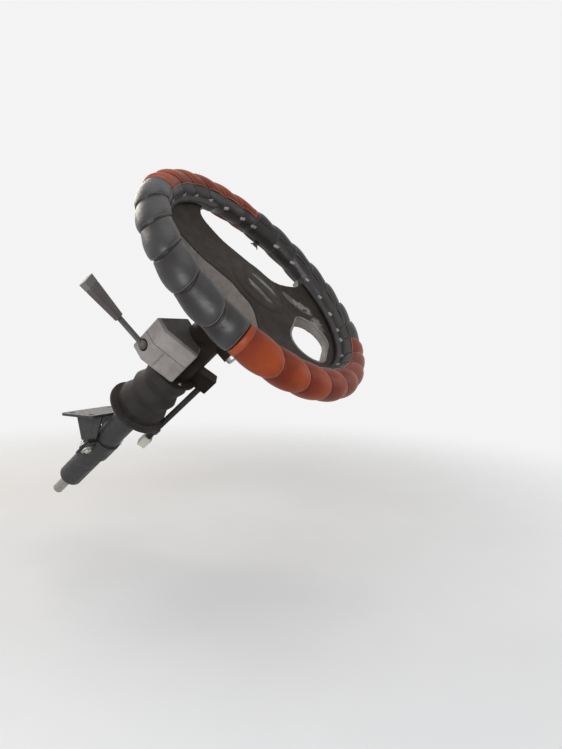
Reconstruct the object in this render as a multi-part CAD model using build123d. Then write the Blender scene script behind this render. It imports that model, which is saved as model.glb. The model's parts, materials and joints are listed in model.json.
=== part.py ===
"""Truck steering wheel and column, with a laced two-colour cover on the rim.

Row frame: X to the right of the cab, Y forward, Z up, origin on the mounting bracket's top face.
Most pieces are drawn in wheel space first: origin at the wheel's centre, z along the column
towards the driver, x to the right and y towards twelve o'clock. place() moves them to the row frame.
"""

from build123d import *
from math import cos, degrees, radians, sin
import os

os.makedirs("parts", exist_ok=True)

# Where the column lies
COLUMN_SLOPE = 38.5        # column above the horizontal, degrees
BRACKET_DOWN = 505.0       # wheel centre to the bracket, along the column
BRACKET_RISE = 70.0        # bracket face above the column's axis
PARKED_TURN = 30.0         # how far the wheel is turned as it stands, degrees

# Rim and cover
RIM_R = 211.0              # centreline of the rim
CORE_R = 14.0              # rim core's section
COVER_R = 27.5             # cover's section at the crown of a lobe
VALLEY_R = 24.6            # cover's section between two lobes
COVER_GAP = 0.4            # cover off the core, and off what passes it
SEAM_GAP = 1.0             # between two cover panels
LOBE_ANGLE = 13.5          # nearest whole number of lobes fills each panel
SEAM_LEAN_ANGLE = 36.0     # seams between lobes lean, their outer side ahead
SEAM_ROLL_ANGLE = 17.0     # where round the section a seam is furthest ahead

# Cover panels, and the angles of the seams between them
PANEL_NAMES = ("cover_brown_top", "cover_black_left", "cover_brown_bottom", "cover_black_right")
SEAM_ANGLES = (53.0, 130.0, 214.0, 317.0, 413.0)

# Hub and spokes, in the straight-ahead position
TOP_SPOKE_ANGLE = 90.0
LOW_SPOKE_ANGLE = 326.0    # right-hand one of the pair that carries the web
HUB_R = 70.0
TOP_SPOKE_HALF = 60.0
LOW_SPOKE_HALF = 29.0
TONGUE_HALF = 22.0         # spoke's end, where it passes the cover
WEB_CLEAR = 0.6            # moulding's edge off the cover
HUB_BLEND_R = 40.0         # inner corners of a side opening
TOP_FLARE_R = 24.0         # top spoke's corners at the rim
LOW_FLARE_R = 20.0         # lower spokes' corners at the rim
OVAL_LONG = 126.0
OVAL_WIDE = 74.0
OVAL_STRIP = 18.0          # web left between the oval opening and the rim

# Section of the moulding: face and back heights
FACE_MID = -10.0
FACE_WAIST = -17.0
FACE_RIM = -3.0
FACE_SAG = 0.6             # hollow of the slope round the pad
DISH_SAG = 3.0             # hollow of the dish between hub and rim
BACK_HUB = -54.0
BACK_WEB = -36.0
BACK_RIM = -19.0
WAIST_OUT = 40.0           # lowest part of the face, outside the hub
BACK_STEP_OUT = 16.0       # edge of the deep part of the back, outside the hub
BACK_WEB_IN = 55.0         # second step of the back, inside the cover

# Horn pad
PAD_R = 52.0
PAD_RISE = 3.5
PAD_DOME_R = 520.0
PAD_SEAT = 6.0             # depth let into the moulding
PAD_GAP = 0.4

# Hub sleeve, shaft and bearings
SLEEVE_R = 27.0
SLEEVE_LONG = 46.0
SHAFT_R = 11.0
SHAFT_TOP = -24.0
SHAFT_END = -690.0
SPLINE_LONG = 42.0
SPLINE_COUNT = 12
SPLINE_SIDE = 0.75
RUN_GAP = 0.05             # shaft in its bearings
TUBE_R = 25.0
TUBE_WALL = 3.0
TUBE_TOP = -112.0
TUBE_END = -632.0
BEARING_LONG = 16.0

# Carrier of the switches, and the ignition lock in its boss
HEAD_R = 34.0
HEAD_TOP = -108.0
HEAD_LONG = 138.0
HEAD_FLANGE_R = 48.0
HEAD_FLANGE_T = 6.0
LOCK_ANGLE = 285.0
LOCK_R = 13.0
LOCK_DOWN = 28.0           # lock's axis below the carrier's top
LOCK_REACH = 64.0          # lock's face from the column's axis
LOCK_SEAT = 3.0            # boss wall round the lock
LOCK_PROUD = 9.0           # lock beyond its boss
LOCK_GAP = 0.2
KEY_SLOT = (11.0, 2.4, 5.0)

# Switch housing, left of the carrier: its outline starts at the corner next to the driver's knee
HOUSE_PLAN = [(-48.0, -37.0), (-88.0, 18.0), (-87.0, 49.0), (-8.0, 50.0), (-8.0, 20.0), (-24.0, -20.0)]
HOUSE_CORNER_R = 4.0
HOUSE_TOP = -154.0
HOUSE_SPLIT = -190.0       # between the two shells
HOUSE_BOTTOM = -234.0
HOUSE_WALL = 3.0
HOUSE_BEVEL = 4.0
SPLIT_GAP = 0.8
POD_GROOVE = 2.4           # groove between the lever's pod and the rest
POD_GROOVE_DEEP = 1.6
POD_GROOVE_IN = 45.0       # from the outline's first corner

# Wiring of the switches: plug block on the carrier, sleeve, clip on the tube, plug at its end
LOOM_ANGLE = 312.0
LOOM_OUT = 60.0            # sleeve from the column's axis
LOOM_R = 6.0
LOOM_LONG = 190.0
LOOM_GAP = 0.2
LOOM_SEAT = 8.0            # sleeve's depth in the block and in the plug
BLOCK_WIDE = 24.0
BLOCK_LONG = 35.0
PLUG_WIDE = 18.0
PLUG_LONG = 28.0
CLIP_WALL = 2.5
CLIP_LONG = 12.0
CLIP_DOWN = 150.0          # clip below the block

# Indicator lever
LEVER_FOOT = (-88.0, 33.0, -211.0)
LEVER_RUN = (-86.0, 105.0, 37.0)
LEVER_BALL_R = 8.4
LEVER_BALL_GAP = 2.6
LEVER_SPINDLE_R = 4.0      # inside the housing, from the ball to the carrier
LEVER_ARM_SHARE = 0.43
LEVER_ARM_W = 11.0
LEVER_ARM_T = 7.0
GRIP_W0 = 19.0
GRIP_W1 = 39.0
GRIP_T = 12.0
CAP_LONG = 15.0

# Boot
BOOT_TOP = -250.0
BOOT_END = -372.0
BOOT_NECK_R = 36.0
BOOT_FOOT_R = 46.0
BOOT_FOLD_DEEP = 6.0
BOOT_WALL = 3.0
BOOT_FOLDS = 3
BOOT_COLLAR = 10.0         # length that grips the tube
BOOT_FLANGE_R = 60.0
BOOT_FLANGE_T = 5.0

# Bracket
PLATE_X = 130.0
PLATE_Y = 92.0
PLATE_T = 5.0
HOLE_X = 96.0
HOLE_Y = 56.0
HOLE_R = 5.25
CHEEK_T = 4.0
CHEEK_IN = 27.0
SADDLE_LONG = 46.0
BAND_T = 4.0
BAND_EAR = 18.0
BAND_HOLE_R = 4.25

AXIS = Vector(0, -cos(radians(COLUMN_SLOPE)), sin(radians(COLUMN_SLOPE)))
CENTRE = Vector(0, 0, -BRACKET_RISE) + AXIS * BRACKET_DOWN
WHEEL = Plane(origin=CENTRE, x_dir=(1, 0, 0), z_dir=AXIS)
TURN = Rot(0, 0, PARKED_TURN)


def place(shape):
    return WHEEL.location * shape


def save(name, shape):
    solids = shape.solids()
    out = solids[0] if len(solids) == 1 else Compound(children=list(solids))
    out.label = name
    export_step(out, f"parts/{name}.step")
    print(name, len(solids), round(out.volume))


def rod(r, bottom, top):
    return Pos(0, 0, bottom) * Cylinder(r, top - bottom, align=(Align.CENTER, Align.CENTER, Align.MIN))


def ring_band(r_out, r_in, bottom, top):
    return rod(r_out, bottom, top) - rod(r_in, bottom - 1, top + 1)


def at(angle, r):
    return (r * cos(radians(angle)), r * sin(radians(angle)))


def rim_section(angle, r, lean):
    """Section of the cover across the rim, leaning so that its outer side runs ahead."""
    x, y = at(angle, RIM_R)
    radial = Vector(*at(angle, 1), 0)
    across = Plane(origin=(x, y, 0), x_dir=radial, z_dir=radial.cross(Vector(0, 0, 1)))
    return across * Rot(0, 0, SEAM_ROLL_ANGLE) * Rot(0, lean, 0) * Ellipse(r / cos(radians(lean)), r)


def cover_panel(first, last):
    trim = degrees(SEAM_GAP / 2 / RIM_R)
    lobes = round((last - first) / LOBE_ANGLE)
    first, last = first + trim, last - trim
    step = (last - first) / lobes
    leans = [0] + [SEAM_LEAN_ANGLE] * (lobes - 1) + [0]
    body = None
    for i in range(lobes):
        a = first + i * step
        lobe = loft([
            rim_section(a, VALLEY_R, leans[i]),
            rim_section(a + step / 2, COVER_R, (leans[i] + leans[i + 1]) / 2),
            rim_section(a + step, VALLEY_R, leans[i + 1]),
        ])
        body = lobe if body is None else body + lobe
    body -= Torus(RIM_R, CORE_R + COVER_GAP)
    for angle in spoke_angles():
        body -= Rot(0, 0, angle + PARKED_TURN) * tongue_slot()
    return body


def spoke_angles():
    return TOP_SPOKE_ANGLE, LOW_SPOKE_ANGLE, 2 * TOP_SPOKE_ANGLE - LOW_SPOKE_ANGLE


def tongue_slot():
    low = BACK_RIM - 3 - COVER_GAP
    high = FACE_RIM + 2 + COVER_GAP
    wide = 2 * (TONGUE_HALF + COVER_GAP)
    inner = RIM_R - COVER_R - 10
    return Pos((inner + RIM_R) / 2, 0, (low + high) / 2) * Box(RIM_R - inner, wide, high - low)


def side_opening():
    """Plan of the opening between the top spoke and the right-hand low one."""
    rim = RIM_R - COVER_R - WEB_CLEAR
    far = 2 * rim
    along = Vector(*at(LOW_SPOKE_ANGLE, 1))
    off = Vector(*at(LOW_SPOKE_ANGLE + 90, LOW_SPOKE_HALF))
    root = off + along * ((TOP_SPOKE_HALF - off.X) / along.X)
    tip = root + along * far
    pts = [(root.X, root.Y), (tip.X, tip.Y), (tip.X, far), (root.X, far)]
    shape = (make_face(Polyline(*pts, close=True).edges()) & Circle(rim)) - Circle(HUB_R)
    inner = [v for v in shape.vertices() if Vector(*v).length < rim - 1]
    shape = fillet(inner, HUB_BLEND_R)
    outer = [v for v in shape.vertices() if Vector(*v).length > rim - 0.01]
    shape = fillet([v for v in outer if v.Y == max(w.Y for w in outer)], TOP_FLARE_R)
    outer = [v for v in shape.vertices() if Vector(*v).length > rim - 0.01]
    return fillet([v for v in outer if v.Y == min(w.Y for w in outer)], LOW_FLARE_R)


def moulding_plan():
    rim = RIM_R - COVER_R - WEB_CLEAR
    plan = Circle(rim)
    for angle in spoke_angles():
        plan += Rot(0, 0, angle) * Pos(RIM_R / 2, 0) * Rectangle(RIM_R, 2 * TONGUE_HALF)
    opening = side_opening()
    plan -= opening
    plan -= mirror(opening, about=Plane.YZ)
    return plan - Pos(0, -(rim - OVAL_STRIP - OVAL_WIDE / 2)) * SlotOverall(OVAL_LONG, OVAL_WIDE)


def moulding_section():
    outer = RIM_R - CORE_R * 0.5
    waist = HUB_R + WAIST_OUT
    deep = HUB_R + BACK_STEP_OUT
    web = RIM_R - COVER_R - BACK_WEB_IN
    level = PAD_R + PAD_GAP
    with BuildSketch(Plane.XZ) as section:
        with BuildLine():
            slope = ((level + waist) / 2, (FACE_MID + FACE_WAIST) / 2 - FACE_SAG)
            dish = ((waist + outer) / 2, (FACE_WAIST + FACE_RIM) / 2 - DISH_SAG)
            Polyline((0, FACE_MID), (level, FACE_MID))
            ThreePointArc((level, FACE_MID), slope, (waist, FACE_WAIST))
            ThreePointArc((waist, FACE_WAIST), dish, (outer, FACE_RIM))
            Polyline(
                (outer, FACE_RIM), (outer, BACK_RIM), (web, BACK_WEB),
                (deep, BACK_HUB + 3), (deep - 5, BACK_HUB), (0, BACK_HUB), (0, FACE_MID),
            )
        make_face()
    return revolve(section.sketch, Axis.Z)


def spoke_moulding():
    body = moulding_section() & Pos(0, 0, BACK_HUB) * extrude(moulding_plan(), amount=-BACK_HUB)
    body -= Torus(RIM_R, CORE_R)
    body -= rod(PAD_R + PAD_GAP, FACE_MID - PAD_SEAT, FACE_MID + 20)
    body -= rod(SHAFT_R, BACK_HUB - 1, SHAFT_TOP + 0.001)
    return TURN * body


def horn_pad():
    body = rod(PAD_R, FACE_MID - PAD_SEAT, FACE_MID + PAD_RISE + 1)
    return TURN * (body & (Pos(0, 0, FACE_MID + PAD_RISE - PAD_DOME_R) * Sphere(PAD_DOME_R)))


def steering_shaft():
    body = rod(SHAFT_R, SHAFT_END, SHAFT_TOP)
    body -= ring_band(SHAFT_R + 1, SHAFT_R - 1.6, SHAFT_END + SPLINE_LONG, SHAFT_END + SPLINE_LONG + 9)
    cutter = Rot(0, 0, 45) * Box(SPLINE_SIDE, SPLINE_SIDE, SPLINE_LONG + 1)
    groove = Pos(SHAFT_R, 0, SHAFT_END + SPLINE_LONG / 2) * cutter
    for i in range(SPLINE_COUNT):
        body -= Rot(0, 0, i * 360 / SPLINE_COUNT) * groove
    return body


def column_tube():
    return ring_band(TUBE_R, TUBE_R - TUBE_WALL, TUBE_END, TUBE_TOP)


def bearing(bottom):
    return ring_band(TUBE_R - TUBE_WALL, SHAFT_R + RUN_GAP, bottom, bottom + BEARING_LONG)


def lock_axis():
    out = Vector(*at(LOCK_ANGLE, 1), 0)
    return Plane(origin=(0, 0, HEAD_TOP - LOCK_DOWN), x_dir=(0, 0, 1), z_dir=out)


def switch_carrier():
    bottom = HEAD_TOP - HEAD_LONG
    ring = rod(HEAD_R, bottom, HEAD_TOP) + rod(HEAD_FLANGE_R, bottom, bottom + HEAD_FLANGE_T)
    ring += lock_axis().location * rod(LOCK_R + LOCK_SEAT, 0, LOCK_REACH - LOCK_PROUD)
    ring -= lock_axis().location * rod(LOCK_R + LOCK_GAP, HEAD_R, LOCK_REACH)
    reach = LOOM_OUT + BLOCK_WIDE / 2
    block = Pos(reach / 2, 0, bottom + BLOCK_LONG / 2) * Box(reach, BLOCK_WIDE, BLOCK_LONG)
    ring += Rot(0, 0, LOOM_ANGLE) * fillet(block.edges().filter_by(Axis.Z).group_by(Axis.X)[-1], 3)
    ring -= loom_line() * rod(LOOM_R + LOOM_GAP, bottom - 1, bottom + LOOM_SEAT)
    return ring - rod(TUBE_R, bottom - 1, HEAD_TOP + 1)


def loom_line():
    """Where the wiring's sleeve runs, beside the column."""
    return Rot(0, 0, LOOM_ANGLE) * Pos(LOOM_OUT, 0, 0)


def switch_loom():
    top = HEAD_TOP - HEAD_LONG + LOOM_SEAT
    return loom_line() * rod(LOOM_R, top - LOOM_LONG, top)


def loom_plug():
    seat = HEAD_TOP - HEAD_LONG + LOOM_SEAT - LOOM_LONG
    body = Pos(0, 0, seat + LOOM_SEAT - PLUG_LONG / 2) * Box(PLUG_WIDE, PLUG_WIDE, PLUG_LONG)
    body = fillet(body.edges().filter_by(Axis.Z), 2)
    return loom_line() * (body - rod(LOOM_R + LOOM_GAP, seat, seat + LOOM_SEAT + 1))


def loom_clip():
    """Band on the column tube with an arm that ends in an eye round the sleeve."""
    middle = HEAD_TOP - HEAD_LONG - CLIP_DOWN
    low, high = middle - CLIP_LONG / 2, middle + CLIP_LONG / 2
    arm = Pos(LOOM_OUT / 2, 0, middle) * Box(LOOM_OUT, CLIP_WALL, CLIP_LONG)
    body = rod(TUBE_R + CLIP_WALL, low, high) + Rot(0, 0, LOOM_ANGLE) * arm
    body += loom_line() * rod(LOOM_R + CLIP_WALL, low, high)
    body -= loom_line() * rod(LOOM_R, low - 1, high + 1)
    return body - rod(TUBE_R, low - 1, high + 1)


def ignition_lock():
    body = rod(LOCK_R, HEAD_R, LOCK_REACH)
    body = chamfer(body.edges().group_by(Axis.Z)[-1], 2)
    return lock_axis().location * (body - Pos(0, 0, LOCK_REACH) * Box(*KEY_SLOT))


def outline(points, inset):
    face = make_face(Polyline(*points, close=True).edges())
    face = fillet(face.vertices(), HOUSE_CORNER_R)
    return offset(face, -inset) if inset else face


def prism(points, inset, bottom, top, bevel=0.0, bevelled=-1):
    """Solid over an outline; the edges of its top (-1) or its bottom (0) may be bevelled."""
    body = Pos(0, 0, bottom) * extrude(outline(points, inset), amount=top - bottom)
    return chamfer(body.edges().group_by(Axis.Z)[bevelled], bevel) if bevel else body


def switch_housing():
    wall = HOUSE_WALL
    ball = Pos(*LEVER_FOOT) * Rot(0, 90, 0) * Sphere(LEVER_BALL_R + LEVER_BALL_GAP)
    carrier = rod(HEAD_R, HOUSE_BOTTOM - 1, HOUSE_TOP + 1)
    base = HOUSE_SPLIT + SPLIT_GAP / 2
    upper = prism(HOUSE_PLAN, 0, base, HOUSE_TOP, HOUSE_BEVEL)
    upper -= prism(HOUSE_PLAN, wall, base - 1, HOUSE_TOP - wall)
    rim = HOUSE_SPLIT - SPLIT_GAP / 2
    lower = prism(HOUSE_PLAN, 0, HOUSE_BOTTOM, rim, HOUSE_BEVEL, 0)
    lower -= prism(HOUSE_PLAN, wall, HOUSE_BOTTOM + wall, rim + 1)
    corner = Vector(*HOUSE_PLAN[0])
    side = (Vector(*HOUSE_PLAN[1]) - corner).normalized()
    groove = Box(POD_GROOVE, 2 * POD_GROOVE_DEEP, 2 * (rim - HOUSE_BOTTOM))
    middle = corner + side * POD_GROOVE_IN
    across = Plane(origin=(middle.X, middle.Y, rim), x_dir=side, z_dir=(0, 0, 1))
    lower -= across.location * groove
    return upper - carrier - ball, lower - carrier - ball


def lever_plane(share):
    run = Vector(*LEVER_RUN)
    x_dir = Vector(0, 0, 1).cross(run)
    return Plane(origin=Vector(*LEVER_FOOT) + run * share, x_dir=x_dir, z_dir=run)


def lever_arm():
    start = lever_plane(0)
    end = lever_plane(LEVER_ARM_SHARE)
    arm = loft([
        start * RectangleRounded(LEVER_ARM_W, LEVER_ARM_T, 2.5),
        end * RectangleRounded(LEVER_ARM_W, LEVER_ARM_T, 2.5),
    ])
    inward = Vector(-LEVER_FOOT[0], -LEVER_FOOT[1], 0)
    pivot = Plane(origin=LEVER_FOOT, z_dir=inward).location
    spindle = pivot * rod(LEVER_SPINDLE_R, 0, inward.length - HEAD_R / 2)
    spindle -= rod(HEAD_R, HOUSE_BOTTOM, HOUSE_TOP)
    ball = pivot * Rot(90, 0, 0) * Sphere(LEVER_BALL_R)
    return (ball + spindle) + arm


def lever_grip():
    cap_share = 1 - CAP_LONG / Vector(*LEVER_RUN).length
    wide = GRIP_W0 + (GRIP_W1 - GRIP_W0) * (cap_share - LEVER_ARM_SHARE) / (1 - LEVER_ARM_SHARE)
    grip = loft([
        lever_plane(LEVER_ARM_SHARE) * RectangleRounded(GRIP_W0, GRIP_T - 1, 4),
        lever_plane(cap_share) * RectangleRounded(wide, GRIP_T, 4),
    ])
    cap = loft([
        lever_plane(cap_share) * RectangleRounded(wide, GRIP_T, 4),
        lever_plane(1) * RectangleRounded(GRIP_W1, GRIP_T, 4),
    ])
    return grip, cap


def column_boot():
    steps = 2 * BOOT_FOLDS
    outer = []
    for i in range(steps + 1):
        t = i / steps
        r = BOOT_NECK_R + (BOOT_FOOT_R - BOOT_NECK_R) * t
        r += BOOT_FOLD_DEEP if i % 2 else 0
        outer.append((r, BOOT_TOP + (BOOT_END + BOOT_FLANGE_T - BOOT_TOP) * t))
    inner = [(r - BOOT_WALL, z) for r, z in reversed(outer)]
    outer += [(BOOT_FLANGE_R, outer[-1][1]), (BOOT_FLANGE_R, BOOT_END), (inner[0][0], BOOT_END)]
    inner[-1] = (TUBE_R, inner[-1][1])
    inner.insert(-1, (TUBE_R, BOOT_TOP - BOOT_COLLAR))
    section = make_face(Polyline(*outer, *inner, close=True).edges())
    body = revolve(Plane.XZ * section, Axis.Z)
    return body - loom_line() * rod(LOOM_R + 2 * LOOM_GAP, BOOT_END - 1, BOOT_TOP)


def mounting_bracket():
    plate = Pos(0, 0, -PLATE_T / 2) * Box(PLATE_X, PLATE_Y, PLATE_T)
    plate = fillet(plate.edges().filter_by(Axis.Z), 12)
    for x in (-HOLE_X / 2, HOLE_X / 2):
        for y in (-HOLE_Y / 2, HOLE_Y / 2):
            plate -= Pos(x, y, -PLATE_T / 2) * Cylinder(HOLE_R, PLATE_T + 2)
    reach = SADDLE_LONG / 2
    half = PLATE_Y / 2 - 8
    low = Vector(0, 0, -BRACKET_RISE)
    side = [
        (-half, -PLATE_T), (half, -PLATE_T),
        (low.Y - AXIS.Y * reach, low.Z - AXIS.Z * reach),
        (low.Y + AXIS.Y * reach, low.Z + AXIS.Z * reach),
    ]
    cheek = extrude(Plane.YZ * make_face(Polyline(*side, close=True).edges()), amount=CHEEK_T)
    body = plate + Pos(CHEEK_IN, 0, 0) * cheek + Pos(-CHEEK_IN - CHEEK_T, 0, 0) * cheek
    saddle = Plane(origin=low, x_dir=(1, 0, 0), z_dir=AXIS)
    outer = CHEEK_IN + CHEEK_T
    half_ring = Cylinder(outer, SADDLE_LONG) - Cylinder(TUBE_R, SADDLE_LONG + 2)
    half_ring &= Pos(0, outer / 2 + SPLIT_GAP, 0) * Box(2 * outer, outer, SADDLE_LONG)
    ears = Pos(0, SPLIT_GAP + BAND_T / 2, 0) * Box(2 * (outer + BAND_EAR), BAND_T, SADDLE_LONG)
    ears -= Cylinder(TUBE_R, SADDLE_LONG + 2)
    for x in (-outer - BAND_EAR / 2, outer + BAND_EAR / 2):
        ears -= Pos(x, 0, 0) * Rot(90, 0, 0) * Cylinder(BAND_HOLE_R, 4 * BAND_T)
    body += saddle.location * (half_ring + ears)
    body -= saddle.location * Cylinder(TUBE_R, 2 * (PLATE_Y + SADDLE_LONG))
    return body


def clamp_band():
    outer = TUBE_R + BAND_T
    wide = CHEEK_IN + CHEEK_T + BAND_EAR
    band = Cylinder(outer, SADDLE_LONG) - Cylinder(TUBE_R, SADDLE_LONG + 2)
    band &= Pos(0, -outer / 2 - SPLIT_GAP, 0) * Box(2 * outer, outer, SADDLE_LONG)
    ears = Pos(0, -SPLIT_GAP - BAND_T / 2, 0) * Box(2 * wide, BAND_T, SADDLE_LONG)
    ears -= Cylinder(TUBE_R, SADDLE_LONG + 2)
    for x in (-wide + BAND_EAR / 2, wide - BAND_EAR / 2):
        ears -= Pos(x, 0, 0) * Rot(90, 0, 0) * Cylinder(BAND_HOLE_R, 4 * BAND_T)
    saddle = Plane(origin=(0, 0, -BRACKET_RISE), x_dir=(1, 0, 0), z_dir=AXIS)
    return saddle.location * (band + ears)


def main():
    save("rim_core", place(Torus(RIM_R, CORE_R)))
    for name, first, last in zip(PANEL_NAMES, SEAM_ANGLES, SEAM_ANGLES[1:]):
        save(name, place(cover_panel(first, last)))
    save("spoke_moulding", place(spoke_moulding()))
    save("horn_pad", place(horn_pad()))
    save("hub_sleeve", place(ring_band(SLEEVE_R, SHAFT_R, BACK_HUB - SLEEVE_LONG, BACK_HUB)))
    save("steering_shaft", place(steering_shaft()))
    save("column_tube", place(column_tube()))
    save("upper_bearing", place(bearing(TUBE_TOP - BEARING_LONG - 2)))
    save("lower_bearing", place(bearing(TUBE_END + 2)))
    save("switch_carrier", place(switch_carrier()))
    save("switch_loom", place(switch_loom()))
    save("loom_clip", place(loom_clip()))
    save("loom_plug", place(loom_plug()))
    save("ignition_lock", place(ignition_lock()))
    upper, lower = switch_housing()
    save("switch_housing_upper", place(upper))
    save("switch_housing_lower", place(lower))
    save("indicator_arm", place(lever_arm()))
    grip, cap = lever_grip()
    save("indicator_grip", place(grip))
    save("indicator_cap", place(cap))
    save("column_boot", place(column_boot()))
    save("mounting_bracket", mounting_bracket())
    save("clamp_band", clamp_band())


main()
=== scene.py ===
"""Truck steering wheel and column: looks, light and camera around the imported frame."""

import json
from math import cos, exp, hypot, pi, radians, sin, sqrt

import bmesh
import bpy
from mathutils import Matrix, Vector, noise


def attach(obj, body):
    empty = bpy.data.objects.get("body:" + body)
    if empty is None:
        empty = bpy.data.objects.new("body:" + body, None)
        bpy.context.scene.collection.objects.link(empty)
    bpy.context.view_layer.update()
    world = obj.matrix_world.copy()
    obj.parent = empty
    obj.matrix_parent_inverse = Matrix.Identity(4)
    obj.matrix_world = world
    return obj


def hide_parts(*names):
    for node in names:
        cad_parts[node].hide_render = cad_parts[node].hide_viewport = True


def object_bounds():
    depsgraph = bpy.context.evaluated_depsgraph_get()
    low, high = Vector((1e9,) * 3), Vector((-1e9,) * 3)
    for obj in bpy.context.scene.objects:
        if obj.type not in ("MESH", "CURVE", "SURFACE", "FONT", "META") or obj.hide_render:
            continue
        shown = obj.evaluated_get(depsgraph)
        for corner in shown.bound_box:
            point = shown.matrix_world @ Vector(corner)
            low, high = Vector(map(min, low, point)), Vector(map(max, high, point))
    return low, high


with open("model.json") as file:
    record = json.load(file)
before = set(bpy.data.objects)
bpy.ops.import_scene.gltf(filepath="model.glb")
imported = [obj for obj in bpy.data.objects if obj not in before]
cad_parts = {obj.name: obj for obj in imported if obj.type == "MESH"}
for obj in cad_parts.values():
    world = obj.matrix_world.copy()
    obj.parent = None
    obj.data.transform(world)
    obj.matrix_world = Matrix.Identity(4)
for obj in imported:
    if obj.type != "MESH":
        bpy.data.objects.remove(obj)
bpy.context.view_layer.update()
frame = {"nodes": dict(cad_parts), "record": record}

MM = 0.001
JOINT = frame["record"]["behaviour"]["joints"][0]
CENTRE = Vector(JOINT["pos_m"])
AXIS = Vector(JOINT["axis"]).normalized()
RIGHT = Vector((1, 0, 0))
UP = AXIS.cross(RIGHT)

# Camera, in metres and degrees
CAMERA_OFFSET = Vector((-0.7435, -0.4654, -0.0941))     # from the wheel's centre
CAMERA_HEADING = 60.04          # to the right of forward
CAMERA_PITCH = -4.0
CAMERA_LENS = 25.0              # in millimetres, like the sensor
CAMERA_SENSOR = 36.0
CAMERA_NEAR = 0.02              # nothing closer is seen

# Lamps: name, place, size in metres, power and colour
LAMPS = (
    ("door_light", (-1.75, -0.95, 0.55), (1.35, 1.0), 28, (0.92, 0.96, 1.0)),
    ("windscreen_light", (0.4, 1.5, 1.3), (2.0, 0.8), 22, (1.0, 0.92, 0.82)),
    ("top_light", (-0.2, -0.7, 1.9), (1.4, 1.4), 6, (1, 1, 1)),
    ("seat_light", (0.9, -1.9, 0.3), (0.9, 0.9), 6, (1, 1, 1)),
)

# Backdrop: colour and strength
DIM = ((0.92, 0.95, 1.0), 0.26)         # what lights the part
WHITE = ((1, 1, 1), 0.90)               # what the camera and reflections see

# Floor, in metres
FLOOR_SIZE = 16.0
FLOOR_DROP = 0.12               # below the lowest point
FLOOR_FADE = (0.55, 1.9)        # distances from its middle where it starts to fade and is gone

# Cover, in millimetres and degrees, with the part's own ring, lobes and seams
RIM_R = 211.0
CROWN_R = 27.5                  # section radius on a lobe
VALLEY_R = 24.4                 # section radius in a seam
PANELS = (                      # name, colour, first and last angle, lobes
    ("cover_brown_top", "brown", 53.0, 130.0, 6),
    ("cover_black_left", "black", 130.0, 214.0, 6),
    ("cover_brown_bottom", "brown", 214.0, 317.0, 8),
    ("cover_black_right", "black", 317.0, 413.0, 7),
)
ALONG = (                       # places along a lobe, closer together at the seams
    0, 0.015, 0.04, 0.08, 0.13, 0.19, 0.26, 0.33, 0.40, 0.47,
    0.54, 0.61, 0.68, 0.75, 0.81, 0.87, 0.92, 0.96, 0.985,
)
PUFF_LATE = 1.75                # above 1, a lobe is highest past its middle
PUFF_FULL = 2.4                 # how full a lobe is
SEAM_LEAN = 5.3                 # how far a seam runs ahead on the outside
SEAM_LEAN_AT = 17.0             # section angle where it runs ahead most
SEAM_DEEP = 1.8                 # groove along a seam
SEAM_WIDE = 0.034               # its half width, as a share of a lobe
SEAM_FOLD_AT = 0.955            # share of a lobe where its end is folded over
SEAM_FOLD_SPAN = 0.985          # share of the skin's width
SEAM_FOLD_R = 0.7
SEAM_FOLD_STEPS = 40
SKIN_EDGE = 122.0               # section angle of the skin's laced edge
SKIN_IN_R = 14.7                # inside of the skins and of the band
SKIN_SHORT = 0.14               # gap at a panel's end, in degrees
SKIN_STEPS = 60
SKIN_IN_STEPS = 8
EDGE_FLAT = 0.45                # share of a lobe's height that is lost at the laced edge
EDGE_FLAT_FROM = 0.62           # share of the way to the edge
EDGE_DROP = 1.5                 # how far the skin comes down at its laced edge
EDGE_DROP_FROM = 0.90

# Painted light on a lobe: 0 in the shaded folds and 1 on its lit middle, along the lobe and across the
# skin; the leather is painted paler there as a painted highlight
PAINTED_LIGHT_RISE = (0.05, 0.8)
PAINTED_LIGHT_FALL = (0.92, 1.0)
PAINTED_LIGHT_EDGE = (0.6, 1.0)

# Unevenness of the cover
UNEVEN = 0.4                    # slow rise and fall of the whole skin
PUCKER = 0.5                    # small folds beside the seams
PUCKER_AFTER = 0.14             # share of a lobe, after and before a seam
PUCKER_BEFORE = 0.11
PUCKER_BEFORE_SHARE = 0.8       # how strong it is before a seam

# Folded edges and hems, each with the panels' colour and its own material
EDGES = (("black", "edge", -0.1, 0.6), ("brown", "brown_edge", 0.2, 0.8))      # lift and radius
EDGE_OUT = 0.6                  # past the skin, round the section
HEM_WIDE = 2.2                  # along the rim, in degrees
HEMS = (("brown", "hem", HEM_WIDE), ("black", "edge", HEM_WIDE * 0.3))
HEM_SHORT = 0.18                # gap at a panel's end, in degrees
HEM_PROFILE = (                 # share of the width, and lift
    (0, -0.6), (0, 0.35), (0.2, 0.75), (0.8, 0.75), (1, 0.3), (1, -0.6),
)
HEM_STEPS = 40

# Inner band and its lace
BAND_R = VALLEY_R - 1.3
BAND_PUFF = 2.1
BAND_PUFF_ALONG = 0.8           # below 1, the puff is full almost to its ends
BAND_PUFF_ROUND = 0.7           # the same, across the band
BAND_UNEVEN = 0.3
BAND_TUCK = 2.0                 # how far it runs under the skins, round the section
BAND_STEPS = 34
BAND_IN_STEPS = 6
MEETS_RIM = ((89.0, 149.5), (228.0, 371.0))     # angles where the moulding reaches the rim
MEETS_R = 30.5                  # distance of its edge from the rim's middle line
PRESS_FADE = 6.0                # how far the bulge runs on past it, in degrees
BULGE_RISE = (168, 187)         # section angles where the bulge starts and is full
BULGE_FALL = (208, 228)
STITCH_AT = 169.0               # section angle of the pale stitches
STITCH_HALF = 1.7               # half its length, in degrees along the rim
STITCH_SKEW = 4.0               # how far its ends are off, round the section
STITCH_LIFT = 0.1
STITCH_DIP = 2.2                # how deep its ends go
STITCH_R = 3.0
STITCH_FLAT = 0.42
THREAD_AHEAD = 0.4              # past the seam, in degrees
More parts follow.
